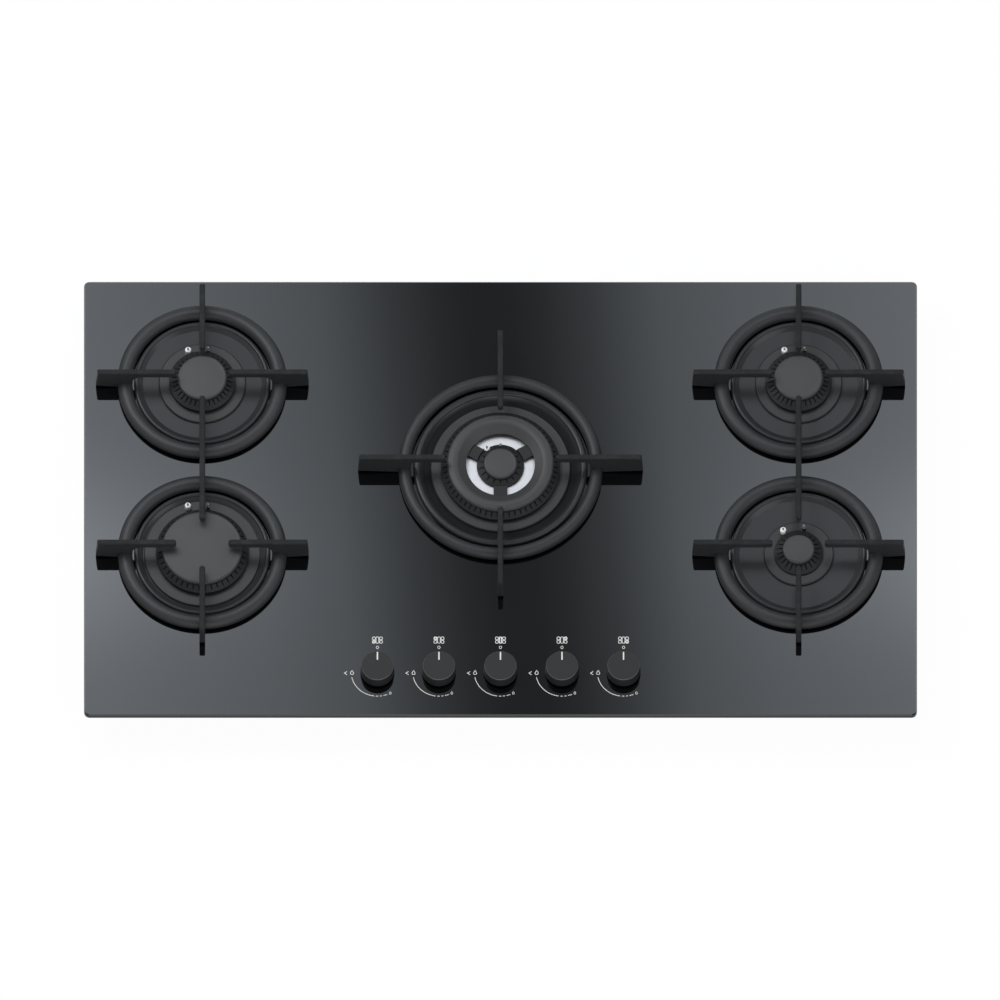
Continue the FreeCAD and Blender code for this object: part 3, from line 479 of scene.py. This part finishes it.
# %% Other bare metals
# Darker tone, lighter tone, roughness, size of the grain, and its stretch on x, y and z.
BARE_METALS = {
    "brass": ((0.62, 0.44, 0.19), (0.78, 0.60, 0.30), 0.24, 1.5 * MM, (1, 1, 1)),
    "zinc_screws": ((0.60, 0.61, 0.62), (0.75, 0.76, 0.77), 0.26, 1 * MM, (1, 1, 1)),
    "spring_steel": ((0.36, 0.37, 0.39), (0.48, 0.49, 0.51), 0.30, 2 * MM, (1, 1, 6)),
    "electrode_steel": ((0.20, 0.19, 0.18), (0.34, 0.33, 0.32), 0.32, 0.6 * MM, (1, 1, 1)),
    "cast_aluminium": ((0.50, 0.51, 0.52), (0.66, 0.67, 0.68), 0.46, 0.9 * MM, (1, 1, 1)),
    "rail_steel": ((0.46, 0.47, 0.48), (0.58, 0.59, 0.60), 0.28, 3 * MM, (0.2, 1, 1)),
    "pipe_aluminium": ((0.70, 0.71, 0.72), (0.82, 0.83, 0.84), 0.30, 2 * MM, (0.3, 0.3, 1)),
    "stem_steel": ((0.50, 0.51, 0.52), (0.64, 0.65, 0.66), 0.26, 0.5 * MM, (1, 1, 8)),
}


def bare(dark, light, rough, grain_size, stretch):
    """A bare metal whose tone and shine wander between two limits."""

    def varying(place):
        grain = place.stretch(*stretch).noise(grain_size, detail=3)
        return {
            "Base Color": grain.mix(dark, light),
            "Roughness": rough + 0.14 * grain,
            "Normal": grain.bump(0.02 * MM, 0.3),
        }

    return varying


for name, look in BARE_METALS.items():
    finish(name, bare(*look), Metallic=1.0)

# %% [markdown]
# ## Ceramic, plastics and rubber
#
# The igniters are glazed white ceramic, smoked in patches under a clear coat. The knobs are
# moulded plastic with a fine spark-eroded texture. A pale line along the edge of the face is a
# painted highlight for the gleam that edge catches. It is found by its height, since all five
# faces lie at one level. The ignition module and the cable gland have a coarser grain. The knob
# seals and the feet are dusty rubber, and the strip under the glass is foam, whose pores are
# small cells.


# %% Ceramic of the igniters
def white_ceramic(place):
    smoke = place.noise(2.5 * MM, detail=3).ramp([(0.45, 0.0), (0.75, 1.0)])
    return {
        "Base Color": (0.35 * smoke).mix((0.82, 0.82, 0.80), (0.42, 0.40, 0.37)),
        "Roughness": 0.16 + 0.10 * smoke,
    }


finish("white_ceramic", white_ceramic, Coat_Weight=0.5, Coat_Roughness=0.08)

# %% Plastics
KNOB_EDGE = 0.8 * MM


def knob_black(place):
    spark = place.noise(0.28 * MM, detail=2)
    cloud = place.noise(12 * MM, detail=2)
    below_face = (knob_face - place.part("Z")) / (2 * KNOB_EDGE)
    # A pale line along the edge of the face: a painted highlight.
    edge = below_face.ramp([(0.05, 0.0), (0.2, 1.0), (0.5, 1.0), (0.6, 0.0)])
    plain = cloud.mix((0.0110, 0.0112, 0.0120), (0.0135, 0.0138, 0.0147))
    return {
        "Base Color": edge.mix(plain, (0.0800, 0.0785, 0.0740)),
        "Roughness": 0.50 + 0.10 * spark - 0.12 * edge,
        "Normal": spark.bump(0.025 * MM, 0.35),
    }


def module_plastic(place):
    spark = place.noise(0.6 * MM, detail=2)
    return {
        "Base Color": spark.mix((0.03, 0.03, 0.031), (0.042, 0.042, 0.043)),
        "Roughness": 0.50 + 0.12 * spark,
        "Normal": spark.bump(0.05 * MM, 0.4),
    }


finish("knob_black", knob_black, Specular_IOR_Level=0.32)
finish("module_plastic", module_plastic)


# %% Rubber and foam
def rubber(place):
    dust = place.noise(4 * MM, detail=4)
    return {
        "Base Color": dust.mix((0.014, 0.014, 0.0145), (0.024, 0.024, 0.024)),
        "Roughness": 0.62 + 0.18 * dust,
    }


def foam_seal(place):
    pores = place.cells(0.9 * MM)
    return {
        "Base Color": pores.mix((0.022, 0.022, 0.023), (0.055, 0.055, 0.056)),
        "Roughness": 0.80 + 0.15 * pores,
        "Normal": pores.bump(0.3 * MM, 0.6),
    }


finish("rubber", rubber)
finish("foam_seal", foam_seal)
print("finishes made:", len(finishes))

# %% [markdown]
# ## Finishes onto the shapes
#
# The record says which finish each shape takes, so the pieces aren't listed here once more.
# A shape keeps its mesh and only its material is changed.

# %% Dress every shape
for row in frame["record"]["subparts"]:
    shape = nodes[row["node"]]
    shape.data.materials.clear()
    shape.data.materials.append(finishes[row["material_slot"]])

# %% [markdown]
# ## Signs on the glass
#
# Signs are screen printed in cream ceramic ink and fired into the glass, so they stand
# hardly higher than it. They could be a picture laid over the pane; drawn as thin closed
# ribbons instead, they stay sharp at any distance. A sign is drawn in millimetres round its
# own knob's axis, and every knob has the same set.

# %% The sides of a ribbon
SHARPEST = 0.4


def side_steps(points, closed):
    """At each point of a line, the sideways step that keeps a ribbon's width."""
    steps = []
    for i, here in enumerate(points):
        ahead = points[(i + 1) % len(points)] if closed or i + 1 < len(points) else None
        behind = points[i - 1] if closed or i > 0 else None
        into = (here - behind).normalized() if behind else (ahead - here).normalized()
        out = (ahead - here).normalized() if ahead else into
        along = (into + out).normalized()
        steps.append(Vector((-along.y, along.x)) / max(along.dot(out), SHARPEST))
    return steps


# %% A ribbon as a thin solid
INK_THICK = 0.06 * MM
INK_SINK = 0.02 * MM


def prism(bm, left, right, closed, base):
    """Closes a ribbon between two edge lines into a thin solid that stands on base."""
    tops, feet = [], []
    for z, rows in ((base + INK_THICK, tops), (base - INK_SINK, feet)):
        for a, b in zip(left, right):
            rows.append((bm.verts.new((*a, z)), bm.verts.new((*b, z))))
    count = len(left)
    for i in range(count if closed else count - 1):
        j = (i + 1) % count
        bm.faces.new((tops[i][0], tops[i][1], tops[j][1], tops[j][0]))
        bm.faces.new((feet[i][1], feet[i][0], feet[j][0], feet[j][1]))
        bm.faces.new((feet[i][0], tops[i][0], tops[j][0], feet[j][0]))
        bm.faces.new((feet[j][1], tops[j][1], tops[i][1], feet[i][1]))
    if not closed:
        for i, order in ((0, 1), (count - 1, -1)):
            ring = [tops[i][0], feet[i][0], feet[i][1], tops[i][1]]
            bm.faces.new(ring[::order])


# %% A stroke of ink
def stroke(bm, points, width, closed=False, base=GLASS_TOP):
    """Adds a line of ink through points in metres."""
    points = [Vector(p) for p in points]
    steps = side_steps(points, closed)
    left = [p + s * width / 2 for p, s in zip(points, steps)]
    right = [p - s * width / 2 for p, s in zip(points, steps)]
    prism(bm, left, right, closed, base)


# %% [markdown]
# ## The set of signs round one knob
#
# Above each knob a small map of the five burners shows which one it feeds: its cell is drawn
# with a thicker line. A nought marks the closed place, an arrow and a large flame the full
# flame, and an arc that breaks into dashes leads down to the small flame. Lines of ink never
# overlap, because two faces at one height would show as dark speckles. Below, the arrow and
# the flames have their places in millimetres from the axis, and the dashes their ends in
# degrees round it.

# %% Sizes of the signs
LINE = 0.72 * MM
MARKED_LINE = 1.3 * MM
NOUGHT_LINE = 0.85 * LINE
SMALL_FLAME_LINE = 0.8 * LINE
CELL_WIDE, CELL_TALL = 3.75 * MM, 4.05 * MM
CELL_CORNER = 1.4 * MM
CELL_GAP = 0.06 * MM
SCALE_RADIUS = 27.5 * MM
SIGN_SHIFT = -1.0 * MM
MAP_UP = 38.4 * MM
NOUGHT_UP, NOUGHT_RADIUS, NOUGHT_SQUEEZE = 29.8 * MM, 1.55 * MM, 0.82
ARROW = [(-32.1, 1.5), (-34.9, -0.4), (-32.1, -2.3)]
LARGE_FLAME, LARGE_FLAME_SIZE = (-26.8, 0.3), (3.2 * MM, 4.8 * MM)
SMALL_FLAME, SMALL_FLAME_SIZE = (13.6, -23.6), (2.0 * MM, 3.2 * MM)
FLAME_BELLY, FLAME_TAPER = 0.69, 1.3
SCALE_DASHES = [(191, 262.6), (266.6, 271.8), (275.4, 280.0), (283.4, 292.4)]
DASH_STEP = 2.4
MAP_CELLS = {1: (-1, -1), 2: (-1, 1), 3: (0, 0), 4: (1, 1), 5: (1, -1)}
print("a burner map is", round(3 * CELL_WIDE / MM, 2), "mm wide")


# %% Arcs, flames and boxes
def arc(centre, radius, start, end, steps=24, squeeze=1.0):
    """Points of an arc, from one angle in degrees to another."""
    points = []
    for i in range(steps + 1):
        angle = math.radians(start + (end - start) * i / steps)
        across = squeeze * radius * math.cos(angle)
        points.append(centre + Vector((across, radius * math.sin(angle))))
    return points


def flame(centre, width, height, steps=24):
    """The outline of a drop-shaped flame, its tip upward."""
    points = []
    for i in range(steps):
        turn = 2 * math.pi * i / steps
        across = FLAME_BELLY * width * math.sin(turn) * math.sin(turn / 2) ** FLAME_TAPER
        points.append(centre + Vector((across, height / 2 * math.cos(turn))))
    return points


def rounded(centre, half_wide, half_tall, radius):
    """The outline of an upright box with round corners."""
    points = []
    for quarter, (x, y) in enumerate([(1, 1), (-1, 1), (-1, -1), (1, -1)]):
        corner = centre + Vector((x * (half_wide - radius), y * (half_tall - radius)))
        points += arc(corner, radius, 90 * quarter, 90 * quarter + 90, steps=4)
    return points


# %% The map of the burners
def burner_map(bm, centre, marked):
    """Five round-cornered cells in three columns, the marked one nearly filled with ink."""
    for cell in MAP_CELLS.values():
        column, row = cell
        line = MARKED_LINE if cell == marked else LINE
        rows_tall = 1 if row else 2
        spot = centre + Vector((column * CELL_WIDE, row * CELL_TALL / 2))
        half_wide = (CELL_WIDE - CELL_GAP - line) / 2
        half_tall = (rows_tall * CELL_TALL - CELL_GAP - line) / 2
        outline = rounded(spot, half_wide, half_tall, CELL_CORNER - line / 2)
        stroke(bm, outline, line, closed=True)


# %% Draw the signs
def sign_set(bm, axis, marked):
    """All the signs of one knob."""
    origin = Vector((axis.x, axis.y + SIGN_SHIFT))
    burner_map(bm, origin + Vector((0, MAP_UP)), marked)
    nought_place = origin + Vector((0, NOUGHT_UP))
    nought = arc(nought_place, NOUGHT_RADIUS, 0, 345, steps=23, squeeze=NOUGHT_SQUEEZE)
    stroke(bm, nought, NOUGHT_LINE, closed=True)
    stroke(bm, [origin + Vector(p) * MM for p in ARROW], LINE)
    large = flame(origin + Vector(LARGE_FLAME) * MM, *LARGE_FLAME_SIZE)
    stroke(bm, large, LINE, closed=True)
    for start, end in SCALE_DASHES:
        steps = math.ceil((end - start) / DASH_STEP)
        stroke(bm, arc(origin, SCALE_RADIUS, start, end, steps=steps), LINE)
    small = flame(origin + Vector(SMALL_FLAME) * MM, *SMALL_FLAME_SIZE)
    stroke(bm, small, SMALL_FLAME_LINE, closed=True)


bm = bmesh.new()
for number, axis in knob_axis.items():
    sign_set(bm, axis, MAP_CELLS[number])
print("ink faces:", len(bm.faces))

# %% [markdown]
# ## Ink and inlays
#
# The ink is a dull cream. Each knob also has a pointer: a strip of the same cream set into
# its face, which stands out of it by a hair. It could be painted on by the knob's finish, but
# a strip of its own is drawn as the signs are, keeps a sharp edge and turns with its knob.


# %% The finish of the ink
def ink(place):
    grain = place.noise(0.4 * MM, detail=2)
    return {
        "Base Color": grain.mix((0.64, 0.63, 0.595), (0.74, 0.73, 0.690)),
        "Roughness": 0.45 + 0.15 * grain,
    }


finish("sign_ink", ink)


# %% Make the printed pieces
def piece(name, bm, finish_name, body):
    """Turns a bmesh into a piece of the object that moves with a body."""
    mesh = bpy.data.meshes.new(name)
    bmesh.ops.recalc_face_normals(bm, faces=bm.faces)
    bm.to_mesh(mesh)
    bm.free()
    mesh.materials.append(finishes[finish_name])
    made = bpy.data.objects.new(name, mesh)
    bpy.context.scene.collection.objects.link(made)
    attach(made, body)
    print("piece made:", name)


piece("printed_signs", bm, "sign_ink", "hob")

# %% Pointers of the knobs
POINTER_WIDE = 1.4 * MM
POINTER_REACH = (6.0 * MM, 15.2 * MM)

for number, axis in knob_axis.items():
    bm = bmesh.new()
    line = [(axis.x, axis.y + reach) for reach in POINTER_REACH]
    stroke(bm, line, POINTER_WIDE, base=knob_face)
    piece(f"pointer_{number}", bm, "sign_ink", f"control_{number}")

# %% [markdown]
# ## A pale studio
#
# The cooktop lies on a white floor. The floor has to look white without more light on the
# object, so for the camera, and for what mirrors it, it is mostly a plain white glow. The
# rest of it is lit, which keeps the soft shadow under the glass. It is a thick block and not
# a bare sheet: a low camera whose picture reaches below the floor then still sees white.

# %% Floor
FLOOR_WIDE = 12.0
FLOOR_THICK = 2.0
FLOOR_GAP = 0.5 * MM

bm = bmesh.new()
bmesh.ops.create_cube(bm, size=1.0)
bmesh.ops.scale(bm, vec=(FLOOR_WIDE, FLOOR_WIDE, FLOOR_THICK), verts=bm.verts)
floor_mesh = bpy.data.meshes.new("studio_floor")
bm.to_mesh(floor_mesh)
bm.free()
floor = bpy.data.objects.new("studio_floor", floor_mesh)
floor.location.z = cad_box[0].z - FLOOR_GAP - FLOOR_THICK / 2
bpy.context.scene.collection.objects.link(floor)
print("floor at z =", round(1000 * (floor.location.z + FLOOR_THICK / 2), 2), "mm")


# %% White glow of the floor
FLOOR_GLOW = 0.96

floor_material, start = empty_material("studio_floor")
ray = {name: start.node("ShaderNodeLightPath", output=name)
       for name in ("Is Camera Ray", "Is Glossy Ray", "Is Transmission Ray")}
seen = ray["Is Camera Ray"] + ray["Is Glossy Ray"] + ray["Is Transmission Ray"]
share = start.maths("MINIMUM", seen, 1.0) * FLOOR_GLOW
paper = start.node("ShaderNodeBsdfDiffuse", inputs={"Color": (0.93, 0.93, 0.93)})
glow = start.node("ShaderNodeEmission", inputs={"Color": (1.0, 1.0, 1.0), "Strength": 1.0})
mixed = start.node("ShaderNodeMixShader", inputs={0: share, 1: paper, 2: glow})
start.node("ShaderNodeOutputMaterial", inputs={0: mixed})
floor_mesh.materials.append(floor_material)
print("nodes of the floor's finish:", len(floor_material.node_tree.nodes))

# %% [markdown]
# ## The sky and the lamps
#
# Soft studio light comes from everywhere at once, with one large lamp high at the left to
# give the knobs a shadow and the castings a lit side, a weaker one opposite, and a lower one
# in front for the upright faces. Lamps this large leave no hard edges, and together they
# light a white sheet to just about white.

# %% Sky
SKY = (0.97, 0.985, 1.0)
SKY_LEVEL = 0.46

world = bpy.data.worlds.new("studio_sky")
world.use_nodes = True
world.node_tree.nodes.clear()
sky = Wire(world.node_tree)
dome = sky.node("ShaderNodeBackground", inputs={"Color": SKY, "Strength": SKY_LEVEL})
sky.node("ShaderNodeOutputWorld", inputs={0: dome})
bpy.context.scene.world = world
print("sky at level", SKY_LEVEL)


# %% Lamps
def lamp(name, place, width, watts):
    """A square soft box that shines from a place towards the middle of the cooktop."""
    data = bpy.data.lights.new(name, "AREA")
    data.size = width
    data.energy = watts
    made = bpy.data.objects.new(name, data)
    made.location = place
    made.rotation_euler = (-Vector(place)).to_track_quat("-Z", "Y").to_euler()
    bpy.context.scene.collection.objects.link(made)
    print(name, "of", watts, "W,", round(Vector(place).length, 2), "m away")


lamp("key_lamp", (-1.5, 0.9, 2.3), 1.4, 34)
lamp("fill_lamp", (1.9, -1.2, 1.9), 1.6, 12)
lamp("front_lamp", (0, -2.4, 1.05), 2.0, 20)

# %% [markdown]
# ## The shaded card over the glass
#
# Black glass shows its surroundings. A photographer hangs a card where the glass mirrors it
# into the lens: bright at both ends and dark in the middle, which draws the pane's wide soft
# sheen. The card is square to the mirrored line of sight, and the camera itself doesn't
# see it. Its brightness is a ramp over the distance from its middle, in its own coordinates,
# and a low patch towards both ends glows brighter, as if a soft lamp stood behind it. Ramp and
# patch together reach nearly 2, where a mix ends at 1, so the level is halved and the peak is
# made double.

# %% Hang the card
TILT = math.radians(64)
CARD_REACH = 1.3
CARD_HALF = (0.62, 0.36)
GLASS_POINT = Vector((0, 0, GLASS_TOP))
MIRRORED = Vector((0, math.cos(TILT), math.sin(TILT)))

card_mesh = bpy.data.meshes.new("shaded_card")
bm = bmesh.new()
bmesh.ops.create_grid(bm, x_segments=1, y_segments=1, size=1.0)
bmesh.ops.scale(bm, vec=(*CARD_HALF, 1.0), verts=bm.verts)
bm.to_mesh(card_mesh)
bm.free()
card = bpy.data.objects.new("shaded_card", card_mesh)
card.location = GLASS_POINT + MIRRORED * CARD_REACH
card.rotation_euler = (TILT - math.pi / 2, 0, 0)
bpy.context.scene.collection.objects.link(card)
card.visible_camera = False
card.visible_shadow = False
print("card hangs at", [round(v, 2) for v in card.location], "m")

# %% Shades of the card
CARD_LEAN = 0.1
CARD_OFFSET = 0.008
CARD_TINT = (0.860, 0.930, 1.0)
CARD_PEAK = 7.8
PATCH_GAIN = 1.05
PATCH_DOWN = 0.062
PATCH_SPREAD = 0.068
card_ramp = [
    (0.00, 0.092),
    (0.04, 0.098),
    (0.09, 0.131),
    (0.17, 0.237),
    (0.29, 0.501),
    (0.43, 0.640),
    (0.61, 0.760),
    (0.72, 0.850),
    (1.00, 0.900),
]

card_material, start = empty_material("shaded_card")
spot = start.node("ShaderNodeTexCoord", output="Object")
across, along = spot.part("X"), spot.part("Y")
sideways = abs(across + CARD_LEAN * along - CARD_OFFSET) / CARD_HALF[0]
from_lamp = (along + PATCH_DOWN) / PATCH_SPREAD
patch = math.e ** (from_lamp * from_lamp * -0.5)
level = 0.5 * sideways.ramp(card_ramp) * (1.0 + PATCH_GAIN * patch * sideways * sideways)
shade = level.mix((0.0, 0.0, 0.0), CARD_TINT)
glow = start.node("ShaderNodeEmission", inputs={"Color": shade, "Strength": CARD_PEAK})
start.node("ShaderNodeOutputMaterial", inputs={0: glow})
card_mesh.materials.append(card_material)
print("shades in the card:", len(card_ramp))

# %% [markdown]
# ## The camera
#
# The photograph looks down from the front, and it was straightened until the plate is an
# exact rectangle, as it is in a view without perspective. An orthographic camera gives that
# view. Its scale is the width of the frame in metres, and it looks down at the angle that
# the card was hung for.

# %% Camera
FRAME_WIDTH = 1.0564
FRAME_SHIFT = Vector((-0.5 * MM, -1.9 * MM, 0))
CAMERA_AWAY = 3.0

lens = bpy.data.cameras.new("front_camera")
lens.type = "ORTHO"
lens.ortho_scale = FRAME_WIDTH
camera = bpy.data.objects.new("front_camera", lens)
towards_camera = Vector((0, -math.cos(TILT), math.sin(TILT)))
camera.location = GLASS_POINT + FRAME_SHIFT + towards_camera * CAMERA_AWAY
camera.rotation_euler = (math.pi / 2 - TILT, 0, 0)
bpy.context.scene.collection.objects.link(camera)
bpy.context.scene.camera = camera
bpy.context.scene.view_settings.view_transform = "Standard"
print("camera at", [round(v, 3) for v in camera.location], "m")
